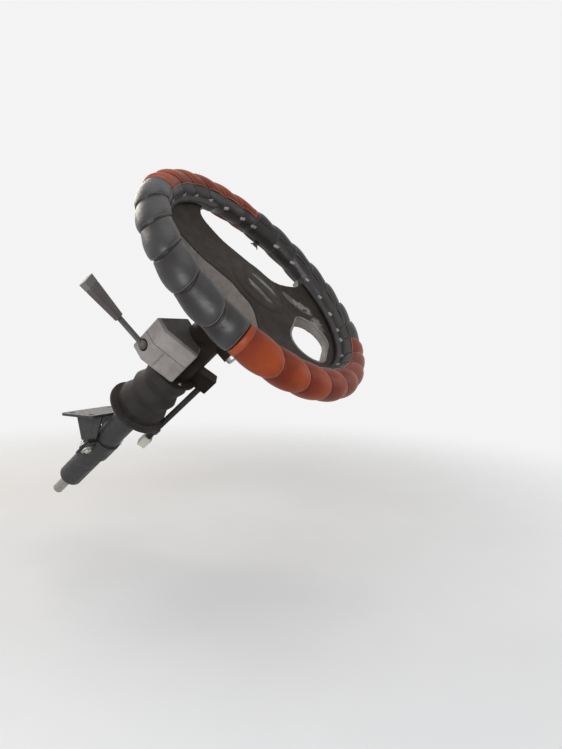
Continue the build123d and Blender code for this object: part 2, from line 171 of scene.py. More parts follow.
THREAD_TUCK = 5.0               # how far it runs under the skins, round the section
THREAD_SINK = 0.9
THREAD_END_SINK = 2.6
THREAD_R = 1.0
THREAD_FLAT = 0.6

# Barrel knot on the rim's inner back, where the lace ends, with two short ends
KNOT_AT = 46.0
KNOT_SECTION = 236.0
KNOT_OUT = 3.0                  # its middle, above the cover
KNOT_R = 3.6
KNOT_LONG = 8.5
KNOT_TURNS = 2.5
KNOT_THREAD_R = 1.8
KNOT_ENDS = ((-1, 5.5), (1, 4.0))       # way along the rim, and how far it stands out
KNOT_END_FROM = 3.5             # where it leaves the coil, along the rim
KNOT_END_RUN = 5.0
KNOT_END_BEND = 3.0
KNOT_END_R = 1.6
KNOT_END_FLAT = 0.6

# Moulding
PARKED_TURN = 30.0              # from wheel space to the wheel's own frame, as it is parked
MOULDING_VOXEL = 1.8
MOULDING_ROUNDS = 5             # rounds of smoothing
HUB_EDGE_R = 52.0               # where the face starts to fall
FACE_HUB = -10.0                # height of the face at the hub
FACE_WAIST = -17.0
WAIST_R = 110.0
FACE_RIM = -3.0
FACE_RIM_R = 204.0
FACE_SAG = 3.0                  # how far the face is dished outside the waist
OVAL_LONG = 126.0
OVAL_WIDE = 74.0
OVAL_OUT = 127.9                # its middle from the wheel's centre
LIP_R = 2.6
LIP_OUT = 1.6                   # lip's middle outside the oval's edge
LIP_SINK = 1.2                  # lip's middle below the face
POLISHED_AND_GLARE = (                    # patches that hands have rubbed shiny, also painted paler as painted glare: place in wheel space, and radius
    (92, -8, -15, 9), (101, -15, -15, 13), (112, -24, -15, 12), (124, -33, -15, 14),
    (136, -43, -14, 12), (118, -90, -13, 13), (127, -81, -13, 17), (138, -72, -12, 13),
)
POLISH_FADE = (0.35, 1.25)      # shares of the radius where a patch starts to fade and is gone

# Horn pad
PAD_TOP = -6.5
PAD_DOME_R = 520.0
PAD_TIP_R = 0.2                 # where the turned skin closes on its axis
PAD_R = 50.2
PAD_SKIRT_R = 60.7              # edge that lies over the joint with the moulding
PAD_SKIRT_SINK = 0.5            # below the moulding's face
PAD_BACK = -12.5
PAD_BACK_R = 60.0
RIBS_OUT = (15.0, 19.0, 23.0)   # from the hub's middle, in the wheel's own frame
RIB_LONG = 60.0
RIB_SHORTER = 0.8               # taken off both ends of a rib for each mm that it lies further out
RIB_MIDDLE = -8.0               # along the rib, from the hub's middle
RIB_LEAN = 4.0 / 60.0           # inwards for each mm along it
RIB_R = 0.75
RIB_FLAT = 0.9
RIB_LIFT = 0.05
RIB_END_SINK = 0.8

# Angles in degrees from which an edge of a CAD solid is shaded sharp, and rounded
SHARP_FROM = 32
ROUNDED_FROM = 38

# Wiring sleeve, in wheel space
LOOM_ANGLE = 312.0
LOOM_OUT = 60.0
LOOM_R = 6.0
LOOM_TOP = -238.0
LOOM_LONG = 190.0
LOOM_PITCH = 3.2
LOOM_RIB = 0.9                  # height of a rib

# Switch housing, with the part's own plan and split
HOUSE_PLAN = (
    (-48.0, -37.0), (-88.0, 18.0), (-87.0, 49.0), (-8.0, 50.0), (-8.0, 20.0), (-24.0, -20.0),
)
HOUSE_SPLIT = -190.0
HOUSE_BOTTOM = -234.0
SEAL_IN = 2.1                   # from the outer face towards the middle
SEAL_CORNER_IN = 2.9            # the same at a corner
SEAL_R = 1.0

# Screws and clamp bolts
SCREW_SIDES = 32
SCREW_RINGS = 9
SCREW_SINK = 1.0                # foot of the head, below the face
SCREW_RISE = 9.9                # degrees of the dome from ring to ring
SCREW_DOME = 0.5                # height of the dome, and sizes of the cross, as shares of the radius
CROSS_HALF = 0.15
CROSS_OUT = 0.66
CROSS_DEEP = 0.32
FLANGE_SCREWS = (243.4, 3.4, 123.4)     # angles
FLANGE_SCREW_OUT = 40.2
FLANGE_SCREW_R = 3.4
FLANGE_FACE = -240.0
HOUSE_SCREWS = ((-74.0, 40.0), (-20.0, 40.0), (-47.0, -24.0))
HOUSE_SCREW_R = 3.0
BRACKET_RISE = 70.0             # bracket's face above the column's axis
CLAMP_BOLT_X = 40.0
CLAMP_FACE = 4.8                # outer face of an ear, from the split
BOLT_ACROSS = 13.0              # across the flats
BOLT_HEAD = 6.6
BOLT_NUT = 7.8
BOLT_CHAMFER = 0.88             # shares of the radius to the corners
BOLT_TOP = 0.3
BOLT_STUB = ((4.0, 6.0), (4.0, 11.5), (3.3, 12.4))      # radius and height, as for the washer
WASHER = ((12.35, -0.5), (12.35, 1.3), (6.5, 1.4))


def at_wheel(u, v, w):
    """A point in wheel space, in millimetres, as a point of the row frame, in metres."""
    return CENTRE + (RIGHT * u + UP * v + AXIS * w) * MM


def to_wheel(p):
    """A point of the row frame as a point in wheel space."""
    d = (p - CENTRE) / MM
    return d.dot(RIGHT), d.dot(UP), d.dot(AXIS)


def soft(a, b, x):
    """0 up to a, 1 from b on, with a smooth rise between them."""
    t = min(1.0, max(0.0, (x - a) / (b - a)))
    return t * t * (3 - 2 * t)


def spread(low, high, steps):
    """Evenly spaced values from low to high, both included."""
    return [low + (high - low) * k / steps for k in range(steps + 1)]


# Materials

class Shader:
    """A material with short calls for its nodes, each of which returns an output."""

    def __init__(self, name):
        self.mat = bpy.data.materials.new(name)
        self.mat.use_nodes = True
        self.tree = self.mat.node_tree
        self.bsdf = self.tree.nodes["Principled BSDF"]
        coords = self.tree.nodes.new("ShaderNodeTexCoord")
        self.coords = coords.outputs["Object"]
        self.normal = coords.outputs["Normal"]

    def link(self, a, b):
        self.tree.links.new(a, b)

    def put(self, socket, value):
        """Feeds a socket with another node's output, a colour or a number."""
        if hasattr(value, "links"):
            self.link(value, socket)
        elif hasattr(value, "__len__"):
            socket.default_value = (*value, 1)
        elif value is not None:
            socket.default_value = value

    def new(self, kind, **values):
        node = self.tree.nodes.new(kind)
        for key, value in values.items():
            setattr(node, key, value)
        return node

    def noise(self, scale, detail=4.0, rough=0.55, stretch=None):
        node = self.new("ShaderNodeTexNoise")
        node.inputs["Scale"].default_value = scale
        node.inputs["Detail"].default_value = detail
        node.inputs["Roughness"].default_value = rough
        place = self.coords
        if stretch:
            mapping = self.new("ShaderNodeMapping")
            mapping.inputs["Scale"].default_value = stretch
            self.link(place, mapping.inputs["Vector"])
            place = mapping.outputs[0]
        self.link(place, node.inputs["Vector"])
        return node.outputs["Fac"]

    def cells(self, scale):
        node = self.new("ShaderNodeTexVoronoi")
        node.inputs["Scale"].default_value = scale
        self.link(self.coords, node.inputs["Vector"])
        return node.outputs["Distance"]

    def ramp(self, value, low=0.0, high=1.0, at=(0.35, 0.65)):
        """Grey that goes from low to high between two places of a value."""
        node = self.new("ShaderNodeValToRGB")
        for element, place, grey in zip(node.color_ramp.elements, at, (low, high)):
            element.position = place
            element.color = (grey, grey, grey, 1)
        self.link(value, node.inputs[0])
        return node.outputs["Color"]

    def spots(self, scale, detail=4.0, rough=0.55, stretch=None, **ramp):
        """Noise that is sharpened to spots."""
        return self.ramp(self.noise(scale, detail, rough, stretch), **ramp)

    def mix(self, share, a, b):
        node = self.new("ShaderNodeMix", data_type="RGBA")
        self.put(node.inputs[0], share)
        self.put(node.inputs[6], a)
        self.put(node.inputs[7], b)
        return node.outputs[2]

    def math(self, operation, a, b):
        node = self.new("ShaderNodeMath", operation=operation)
        self.put(node.inputs[0], a)
        self.put(node.inputs[1], b)
        return node.outputs[0]

    def bump(self, height, strength, distance, under=None):
        node = self.new("ShaderNodeBump")
        node.inputs["Strength"].default_value = strength
        node.inputs["Distance"].default_value = distance
        self.link(height, node.inputs["Height"])
        self.put(node.inputs["Normal"], under)
        return node.outputs["Normal"]

    def compare(self, operation, value, other, zero_at, one_at, rise="LINEAR"):
        """A vector against a fixed one, brought to the range from 0 to 1."""
        pair = self.new("ShaderNodeVectorMath", operation=operation)
        pair.inputs[1].default_value = other
        self.link(value, pair.inputs[0])
        node = self.new("ShaderNodeMapRange", interpolation_type=rise)
        node.inputs["From Min"].default_value = zero_at
        node.inputs["From Max"].default_value = one_at
        self.link(pair.outputs["Value"], node.inputs["Value"])
        return node.outputs[0]

    def facing(self, axis, low, high):
        """How far a surface faces an axis of the object, from 0 to 1."""
        return self.compare("DOT_PRODUCT", self.normal, axis, low, high)

    def near(self, place, inner, outer):
        """1 within the inner distance of a point of the object, 0 beyond the outer one."""
        return self.compare("DISTANCE", self.coords, place, outer, inner, "SMOOTHSTEP")

    def dust(self, amount):
        """Dust that lies in specks where the surface faces up."""
        specks = self.spots(240, 5, 0.7, low=0.35, at=(0.36, 0.7))
        upward = self.facing((0, 0, 1), 0.15, 1.0)
        return self.math("MULTIPLY", self.math("MULTIPLY", upward, specks), amount)

    def done(self, color, rough, normal=None, **values):
        """Connects the surface, with other sockets by name, and returns the material."""
        self.put(self.bsdf.inputs["Base Color"], color)
        self.put(self.bsdf.inputs["Roughness"], rough)
        self.put(self.bsdf.inputs["Normal"], normal)
        for key, value in values.items():
            self.put(self.bsdf.inputs[key.replace("_", " ")], value)
        return self.mat


def leather(name, dark, light, worn, rough, spec=0.4, painted_lit_belly=None):
    """Imitation leather with grain, creases and rubbed spots, and a paler colour painted on the lobes'
    bellies as a painted highlight, with painted shade in the folds.
    """
    s = Shader(name)
    patches = s.noise(26, 2)
    color = s.mix(s.ramp(patches, at=(0.36, 0.66)), dark, light)
    if painted_lit_belly:
        # painted light: a paler colour on the lobes' lit bellies as a painted highlight, and darker folds
        # as painted shade
        tone = s.new("ShaderNodeAttribute", attribute_name="tone").outputs["Fac"]
        share = s.math("MULTIPLY", tone, s.ramp(patches, low=0.6, at=(0.36, 0.60)))
        color = s.mix(share, color, painted_lit_belly)
    color = s.mix(s.spots(170, 5, 0.65, high=0.35, at=(0.60, 0.76)), color, worn)
    gloss = s.spots(60, 3, low=rough - 0.03, high=rough + 0.07)
    fine = s.bump(s.cells(1400), 0.14, 0.0003)
    creases = s.spots(95, 6, 0.6, stretch=(1, 1, 2.2), at=(0.42, 0.60))
    return s.done(color, gloss, s.bump(creases, 0.16, 0.0007, fine), Specular_IOR_Level=spec)


def moulded(name, color, worn, rough, grain, dust, dust_color=(0.2, 0.17, 0.145), spec=0.35):
    """Grained plastic with rubbed patches and scuffs, and dust where it faces up."""
    s = Shader(name)
    base = s.mix(s.spots(30, 4, at=(0.4, 0.68)), color, worn)
    base = s.mix(s.dust(dust), base, dust_color)
    base = s.mix(s.spots(95, 6, 0.7, stretch=(1, 3, 1), high=0.5, at=(0.62, 0.74)), base, worn)
    gloss = s.spots(60, 5, low=rough - 0.06, high=rough + 0.12)
    fine = s.bump(s.cells(1150), grain, 0.0004)
    return s.done(base, gloss, s.bump(s.noise(22, 3), 0.10, 0.002, fine), Specular_IOR_Level=spec)


def wheel_foam(name):
    """The moulding: black padded face, a paler back shell that is partly painted light from the door, a
    painted highlight along its rounded edges, and patches rubbed shiny by hands that are painted paler as
    painted glare.
    """
    s = Shader(name)
    face = s.mix(s.spots(24, 3, at=(0.4, 0.66)), (0.012, 0.0085, 0.0065), (0.022, 0.016, 0.012))
    # the paler back shell is two-tone plastic, and is also painted light: the side walls are painted paler
    # where the door light falls on them
    shell = s.mix(s.spots(70, 5, 0.65, at=(0.38, 0.68)), (0.19, 0.165, 0.147), (0.26, 0.232, 0.21))
    front = s.facing(AXIS, 0.30, 0.62)
    # painted highlight: a paler band along every rounded edge, where the face turns to the sides, partly
    # also their wear
    painted_edge_highlight = s.math("MULTIPLY", front, s.math("SUBTRACT", 1.0, front))
    base = s.mix(s.math("MULTIPLY", painted_edge_highlight, 2.6), s.mix(front, shell, face), (0.21, 0.19, 0.175))
    base = s.mix(s.dust(0.35), base, (0.17, 0.145, 0.125))
    polish_and_painted_glare = 0.0
    for u, v, w, r in POLISHED_AND_GLARE:
        inner, outer = (r * MM * share for share in POLISH_FADE)
        polish_and_painted_glare = s.math("MAXIMUM", polish_and_painted_glare, s.near(at_wheel(u, v, w), inner, outer))
    polish_and_painted_glare = s.math("MULTIPLY", polish_and_painted_glare, s.spots(170, 5, 0.65, at=(0.40, 0.54)))
    # painted glare: the rubbed patches are painted a paler grey, besides their real gloss and shine
    base = s.mix(polish_and_painted_glare, base, (0.23, 0.213, 0.205))
    gloss = s.mix(polish_and_painted_glare, s.spots(60, 4, low=0.36, high=0.52), (0.22, 0.22, 0.22))
    spec = s.mix(polish_and_painted_glare, (0.05, 0.05, 0.05), (0.6, 0.6, 0.6))
    fine = s.bump(s.cells(1000), 0.2, 0.0004)
    return s.done(base, gloss, s.bump(s.noise(18, 2), 0.05, 0.002, fine), Specular_IOR_Level=spec)


def switch_shell(name):
    """Pale dusty walls, and a darker face that is partly dirt and partly painted shade from the wheel
    above it.
    """
    s = Shader(name)
    patches = s.spots(45, 5, 0.6, at=(0.36, 0.68))
    walls = s.mix(patches, (0.215, 0.190, 0.176), (0.295, 0.266, 0.248))
    face = s.mix(patches, (0.038, 0.033, 0.032), (0.062, 0.054, 0.052))
    # painted shade: the face towards the wheel is painted dark, partly also for dirt
    base = s.mix(s.facing(AXIS, 0.55, 0.92), walls, face)
    base = s.mix(s.dust(0.3), base, (0.26, 0.235, 0.215))
    base = s.mix(s.spots(150, 6, 0.7, high=0.5, at=(0.60, 0.72)), base, (0.07, 0.06, 0.052))
    gloss = s.spots(60, 5, low=0.50, high=0.68)
    return s.done(base, gloss, s.bump(s.cells(1100), 0.25, 0.0004), Specular_IOR_Level=0.3)


def steel(name, color, rough):
    """Bare metal with darker marks, flattened along Z."""
    s = Shader(name)
    marks = s.noise(90, 6, 0.65, (1, 1, 6))
    tone = s.mix(s.ramp(marks), [c * 0.72 for c in color], color)
    gloss = s.spots(130, 5, low=rough - 0.07, high=rough + 0.13)
    return s.done(tone, gloss, s.bump(marks, 0.1, 0.0003), Metallic=1.0)


def painted(name, color, chip):
    """Satin paint with small worn chips."""
    s = Shader(name)
    coat = s.mix(s.spots(25, 3), color, [c * 1.2 for c in color])
    tone = s.mix(s.spots(120, 6, 0.7, at=(0.63, 0.70)), coat, chip)
    return s.done(tone, s.spots(90, 5, low=0.36, high=0.60), s.bump(s.noise(420, 3), 0.12, 0.0003))


MATS = {}


def make_cover_materials():
    """The cover's two leathers, their hems and edges, the lace and its thread."""
    # the bellies' colours are painted highlight on the lit middles of the lobes
    MATS["black"] = leather(
        "cover_black", dark=(0.009, 0.0068, 0.006), light=(0.015, 0.012, 0.011),
        worn=(0.04, 0.036, 0.033), rough=0.38, spec=0.36, painted_lit_belly=(0.034, 0.032, 0.032))
    MATS["brown"] = leather(
        "cover_brown", dark=(0.115, 0.014, 0.005), light=(0.165, 0.023, 0.008),
        worn=(0.34, 0.10, 0.05), rough=0.38, spec=0.18, painted_lit_belly=(0.30, 0.052, 0.014))
    # the hem's paler colour is partly a painted highlight where the panel's end turns to the light
    MATS["hem"] = leather(
        "cover_hem", dark=(0.23, 0.036, 0.011), light=(0.31, 0.058, 0.020),
        worn=(0.42, 0.15, 0.08), rough=0.38, spec=0.2)
    # the edges' pale colours are partly wear and partly a painted highlight on the raised seams
    MATS["edge"] = leather(
        "cover_edge", dark=(0.045, 0.040, 0.038), light=(0.10, 0.09, 0.085),
        worn=(0.18, 0.165, 0.155), rough=0.36)
    MATS["brown_edge"] = leather(
        "cover_brown_edge", dark=(0.24, 0.06, 0.03), light=(0.34, 0.11, 0.065),
        worn=(0.44, 0.2, 0.14), rough=0.38)
    # the stitches' pale colour is partly a painted highlight, for the gloss spots on the band's puffs
    MATS["lace"] = leather(
        "cover_lace", dark=(0.20, 0.175, 0.155), light=(0.32, 0.295, 0.27),
        worn=(0.40, 0.37, 0.34), rough=0.30)
    MATS["thread"] = leather(
        "cover_thread", dark=(0.02, 0.017, 0.015), light=(0.04, 0.035, 0.03),
        worn=(0.08, 0.07, 0.06), rough=0.34)


def make_wheel_materials():
    """The moulding, the welt round its opening, and the horn pad with its ribs."""
    MATS["wheel"] = wheel_foam("wheel_plastic")
    # the lip's pale colour is partly wear and partly a painted highlight along its rounded crest
    MATS["lip"] = moulded(
        "wheel_lip", (0.10, 0.091, 0.085), (0.19, 0.175, 0.162), rough=0.32, grain=0.1,
        dust=0.1, spec=0.5)
    MATS["pad"] = moulded(
        "pad_plastic", (0.011, 0.008, 0.0065), (0.020, 0.015, 0.012), rough=0.42, grain=0.16,
        dust=0.3, spec=0.05)
    # the ribs' grey, much paler than the pad, is partly a painted glint on their crests
    MATS["rib"] = moulded(
        "pad_rib", (0.10, 0.095, 0.09), (0.26, 0.25, 0.24), rough=0.26, grain=0.05,
        dust=0.0, spec=0.6)


def make_column_materials():
    """Switch, lever, boot, wiring sleeve and metals."""
    MATS["switch"] = switch_shell("switch_plastic")
    MATS["lever"] = moulded(
        "lever_plastic", (0.075, 0.066, 0.062), (0.11, 0.10, 0.093), rough=0.48, grain=0.15,
        dust=0.5, dust_color=(0.27, 0.24, 0.22))
    MATS["cap"] = moulded(
        "lever_cap", (0.12, 0.11, 0.104), (0.16, 0.149, 0.14), rough=0.48, grain=0.12,
        dust=0.4, dust_color=(0.3, 0.27, 0.25))
    MATS["boot"] = moulded(
        "boot_rubber", (0.019, 0.016, 0.015), (0.034, 0.029, 0.027), rough=0.66, grain=0.25,
        dust=0.35, spec=0.2)
    MATS["nylon"] = moulded(
        "bearing_plastic", (0.46, 0.43, 0.36), (0.52, 0.5, 0.43), rough=0.5, grain=0.1,
        dust=0.1)
    MATS["loom"] = moulded(
        "loom_sleeve", (0.013, 0.012, 0.0125), (0.026, 0.025, 0.025), rough=0.5, grain=0.1,
        dust=0.3, spec=0.25)
    MATS["steel"] = steel("bare_steel", (0.42, 0.40, 0.38), rough=0.32)
    MATS["bolt"] = steel("zinc_bolt", (0.52, 0.50, 0.46), rough=0.38)
    MATS["dark"] = painted("dark_steel", (0.018, 0.018, 0.019), (0.14, 0.10, 0.075))


CAD_MATS = {                    # nodes that stay as they are, with a better material
    "rim_core": "wheel", "hub_sleeve": "dark", "steering_shaft": "steel", "column_tube": "dark",
    "upper_bearing": "nylon", "lower_bearing": "nylon", "column_boot": "boot",
}
SOFTENED = {                    # nodes that get rounded edges: material, and width in millimetres
    "switch_carrier": ("pad", 1.2), "ignition_lock": ("steel", 0.5),
    "switch_housing_upper": ("switch", 2.4), "switch_housing_lower": ("switch", 1.8),
    "indicator_arm": ("lever", 0.8), "indicator_grip": ("lever", 1.6), "indicator_cap": ("cap", 1.2),
    "mounting_bracket": ("dark", 0.7), "clamp_band": ("dark", 0.7),
    "loom_clip": ("dark", 0.4), "loom_plug": ("nylon", 0.8),
}


def paint_cad():
    for name, key in CAD_MATS.items():
        node = frame["nodes"][name]
        node.data.materials.clear()
        node.data.materials.append(MATS[key])


# Meshes

def mesh_piece(name, points, faces, mat, body):
    """A smooth mesh with its faces outwards, which rides on a body."""
    mesh = bpy.data.meshes.new(name)
    mesh.from_pydata([tuple(p) for p in points], [], faces)
    mesh.validate()
    work = bmesh.new()
    work.from_mesh(mesh)
    bmesh.ops.recalc_face_normals(work, faces=work.faces)
    work.to_mesh(mesh)
    work.free()
    mesh.polygons.foreach_set("use_smooth", [True] * len(mesh.polygons))
    mesh.materials.append(MATS[mat])
    obj = bpy.data.objects.new(name, mesh)
    bpy.context.scene.collection.objects.link(obj)
    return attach(obj, body)


def ring_strip(loops, closed):
    """Quads between loops of points, each loop closed, and caps on the ends unless the strip closes."""
    n = len(loops[0])
    points = [p for loop in loops for p in loop]
    faces = []
    count = len(loops) if closed else len(loops) - 1
    for i in range(count):
        a, b = i * n, ((i + 1) % len(loops)) * n
        for k in range(n):
            faces.append((a + k, a + (k + 1) % n, b + (k + 1) % n, b + k))
    if not closed:
        faces.append(tuple(reversed(range(n))))
        faces.append(tuple(range((len(loops) - 1) * n, len(loops) * n)))
    return points, faces


def many(name, strips, mat, body):
    """One piece of several strips, each with its loops and whether it closes."""
    points, faces = [], []
    for loops, closed in strips:
        more_points, more_faces = ring_strip(loops, closed)
        faces += [tuple(i + len(points) for i in face) for face in more_faces]
        points += more_points
    return mesh_piece(name, points, faces, mat, body)


def tube(path, r, sides=8, closed=False, flat=1.0, up=None):
    """Loops of a round or flattened tube, r millimetres thick each way, along a path of points."""
    loops, last = [], None
    for i, p in enumerate(path):
        before = path[i - 1] if (i or closed) else path[i]
        after = path[(i + 1) % len(path)] if (i + 1 < len(path) or closed) else path[i]
        run = (after - before).normalized()
        side = (up[i] if up else (last or AXIS)).cross(run)
        if side.length < 1e-6:
            side = RIGHT.cross(run)
        side.normalize()
        last = run.cross(side)
        loop = []
        for k in range(sides):
            a = 2 * pi * k / sides
            loop.append(p + side * (r * MM * cos(a)) + last * (r * MM * flat * sin(a)))
        loops.append(loop)
    return loops


def circle(axis, sides):
    """Directions all round an axis."""
    side = axis.orthogonal().normalized()
    over = axis.cross(side)
    return [side * cos(2 * pi * k / sides) + over * sin(2 * pi * k / sides) for k in range(sides)]


def turned_loops(profile, middle, axis, sides):
    """Loops of points of a profile of radius and height, turned about an axis through a point."""
    return [
        [middle + way * (r * MM) + axis * (h * MM) for way in circle(axis, sides)]
        for r, h in profile
    ]


# Laced cover

def lobe_marks():
    """Each lobe of the whole ring: its panel's colour, first angle and width."""
    marks = []
    for _, color, first, last, lobes in PANELS:
        step = (last - first) / lobes
        marks += [(color, first + i * step, step) for i in range(lobes)]
    return marks


def lean_share(t):
    """The seams stand straight at a panel's ends and lean fully from its second lobe on."""
    for _, _, first, last, lobes in PANELS:
        if first <= t <= last:
            step = (last - first) / lobes
            return soft(0, 1, (t - first) / step) * soft(0, 1, (last - t) / step)
    return 0.0


def cover_point(t, section, r):
    """A point at angle t along the rim, and at a section angle and radius round its middle line."""
    start = PANELS[0][2]
    lean = SEAM_LEAN * lean_share((t - start) % 360 + start)
    angle = radians(t + lean * cos(radians(section - SEAM_LEAN_AT)))
    ring = RIM_R + r * cos(radians(section))
    return at_wheel(ring * cos(angle), ring * sin(angle), r * sin(radians(section)))


def outward(p):
    """The direction from the rim's middle line to a point."""
    u, v, _ = to_wheel(p)
    far = hypot(u, v)
    return (p - at_wheel(u / far * RIM_R, v / far * RIM_R, 0)).normalized()


def pillow(s):
    """Height of a lobe along its length: it rises slowly and drops at the next seam."""
    return 1 - abs(2 * s ** PUFF_LATE - 1) ** PUFF_FULL


def skin_radius(t, s, section):
    """Outer radius of the padded skin, in millimetres."""
    edge = abs(section) / SKIN_EDGE
    fade = 1 - EDGE_FLAT * soft(EDGE_FLAT_FROM, 1.0, edge)
    r = VALLEY_R + (CROWN_R - VALLEY_R) * pillow(s) * fade
    r -= EDGE_DROP * soft(EDGE_DROP_FROM, 1.0, edge)
    r -= SEAM_DEEP * exp(-(min(s, 1 - s) / SEAM_WIDE) ** 2)
    r += UNEVEN * noise.noise(Vector((t * 0.16, section * 0.021, 3.1)))
    near = exp(-s / PUCKER_AFTER) + PUCKER_BEFORE_SHARE * exp(-(1 - s) / PUCKER_BEFORE)
    r += PUCKER * near * noise.noise(Vector((t * 0.3, section * 0.17, 9.7)))
    return r


def pressed(t):
    """1 where the moulding meets the rim and the band bulges against its edge, 0 at the side openings."""
    for first, last in MEETS_RIM:
        x = (t - first + PRESS_FADE) % 360
        span = last - first + 2 * PRESS_FADE
        if x < span:
            return soft(0, PRESS_FADE, x) * soft(0, PRESS_FADE, span - x)
    return 0.0


def band_radius(t, s, section):
    """Outer radius of the black band between the two laced edges, puffed between the laces."""
    across = (section - 180) / (180 - SKIN_EDGE)
    r = BAND_R
    if abs(across) < 1:
        r += BAND_PUFF * sin(pi * s) ** BAND_PUFF_ALONG * (1 - across * across) ** BAND_PUFF_ROUND
    r += BAND_UNEVEN * noise.noise(Vector((t * 0.2, section * 0.05, 21.3)))
    r += (MEETS_R - r) * pressed(t) * soft(*BULGE_RISE, section) * (1 - soft(*BULGE_FALL, section))
    return r


def skin_rings(first, last, lobes):
    """Closed sections of one padded skin from end to end, each with its outside and then its inside."""
    step = (last - first) / lobes
    places = [(first + (i + s) * step, s) for i in range(lobes) for s in ALONG]
    rings = []
    for t, s in (*places, (last, 1.0)):
        held = min(max(t, first + SKIN_SHORT), last - SKIN_SHORT)
        ring = []
        for section in spread(-SKIN_EDGE, SKIN_EDGE, SKIN_STEPS):
            ring.append(cover_point(held, section, skin_radius(t, s, section)))
        for section in spread(SKIN_EDGE, -SKIN_EDGE, SKIN_IN_STEPS):
            ring.append(cover_point(held, section, SKIN_IN_R))
        rings.append(ring)
    return rings


def add_painted_light(skin, lobes):
    """Painted light: how far each point of a skin is from the shaded folds; the leather is painted paler
    on the lobes' lit bellies as a painted highlight.
    """
    across = [1 - soft(*PAINTED_LIGHT_EDGE, abs(x)) for x in spread(-1, 1, SKIN_STEPS)]
    values = []
    for s in (*ALONG * lobes, 1.0):
        along = soft(*PAINTED_LIGHT_RISE, s) * (1 - soft(*PAINTED_LIGHT_FALL, s))
        values += [along * share for share in across]
        values += [0.0] * (SKIN_IN_STEPS + 1)
    tone = skin.data.attributes.new("tone", "FLOAT", "POINT")
    tone.data.foreach_set("value", values)


def add_skins():
    """The padded skin of each panel, which stands for its CAD solid."""
    for name, color, first, last, lobes in PANELS:
        points, faces = ring_strip(skin_rings(first, last, lobes), False)
        skin = mesh_piece(name + "_skin", points, faces, color, "wheel")
        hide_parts(name)
        add_painted_light(skin, lobes)


def add_band():
    """The strip inside the rim that the lace pulls together."""
    low, high = SKIN_EDGE - BAND_TUCK, 360 - SKIN_EDGE + BAND_TUCK
    rings = []
    for _, first, step in lobe_marks():
        for s in ALONG:
            t = first + s * step
            ring = []
            for section in spread(low, high, BAND_STEPS):
                ring.append(cover_point(t, section, band_radius(t, s, section)))
            for section in spread(high, low, BAND_IN_STEPS):
                ring.append(cover_point(t, section, SKIN_IN_R))
            rings.append(ring)
    points, faces = ring_strip(rings, True)
    band = mesh_piece("cover_inner_band", points, faces, "black", "wheel")


def laced_edge(first, step, side, lift):
    """A line along a lobe's laced edge; side is 1 or -1."""
    path = []
    for s in (*ALONG, 1.0):
        t = first + s * step
        r = skin_radius(t, s, side * SKIN_EDGE) + lift
        path.append(cover_point(t, side * (SKIN_EDGE + EDGE_OUT), r))
    return path


def seam_line(first, step):
    """A line over the rim's outside along the fold at a lobe's end."""
    t = first + SEAM_FOLD_AT * step
    reach = SKIN_EDGE * SEAM_FOLD_SPAN
    return [
        cover_point(t, section, skin_radius(t, SEAM_FOLD_AT, section))
        for section in spread(-reach, reach, SEAM_FOLD_STEPS)
    ]


def add_edges():
    """Folded edges: along each skin's laced sides and over each seam, paler than the skins, partly for
    wear and partly as a painted highlight on their raised crests.
    """
    for color, mat, lift, r in EDGES:
        strips = []
        for panel, first, step in lobe_marks():
            if panel != color:
                continue
            for side in (1, -1):
                strips.append((tube(laced_edge(first, step, side, lift), r, 7), False))
            strips.append((tube(seam_line(first, step), SEAM_FOLD_R, 6), False))
        piece = many("cover_edges_" + color, strips, mat, "wheel")


def hem_rings(start, way, wide, first, step):
    """Sections of a hem that runs over the rim's outside, from a start one way along the rim."""
    rings = []
    for section in spread(-SKIN_EDGE, SKIN_EDGE, HEM_STEPS):
        ring = []
        for share, lift in HEM_PROFILE:
            t = start + way * share * wide
            r = skin_radius(t, (t - first) / step % 1, section) + lift
            ring.append(cover_point(t, section, r))
        rings.append(ring)
    return rings


def add_hems():
    """A turned hem at both ends of each brown panel, and a narrow one on the black panels."""
    for color, mat, wide in HEMS:
        strips = []
        for _, panel, first, last, lobes in PANELS:
            if panel != color:
                continue
            step = (last - first) / lobes
            for start, way in ((first + HEM_SHORT, 1), (last - HEM_SHORT, -1)):
                strips.append((hem_rings(start, way, wide, first, step), False))
        piece = many("cover_hems_" + color, strips, mat, "wheel")


def stitch_path(first):
    """A short skewed line over the middle of the band, with its ends dipped."""
    path = []
    for x in spread(-1, 1, steps=10):
        r = VALLEY_R + STITCH_LIFT - STITCH_DIP * x ** 4
        path.append(cover_point(first + STITCH_HALF * x, STITCH_AT + STITCH_SKEW * x, r))
    return path


def thread_path(first):
    """A line across the band from one skin's edge to the other, with its ends sunk."""
    sections = spread(SKIN_EDGE - THREAD_TUCK, 360 - SKIN_EDGE + THREAD_TUCK, steps=14)
    path = []
    for section in sections:
        sink = THREAD_END_SINK if section in (sections[0], sections[-1]) else THREAD_SINK
        path.append(cover_point(first + THREAD_AHEAD, section, VALLEY_R - sink))
    return path


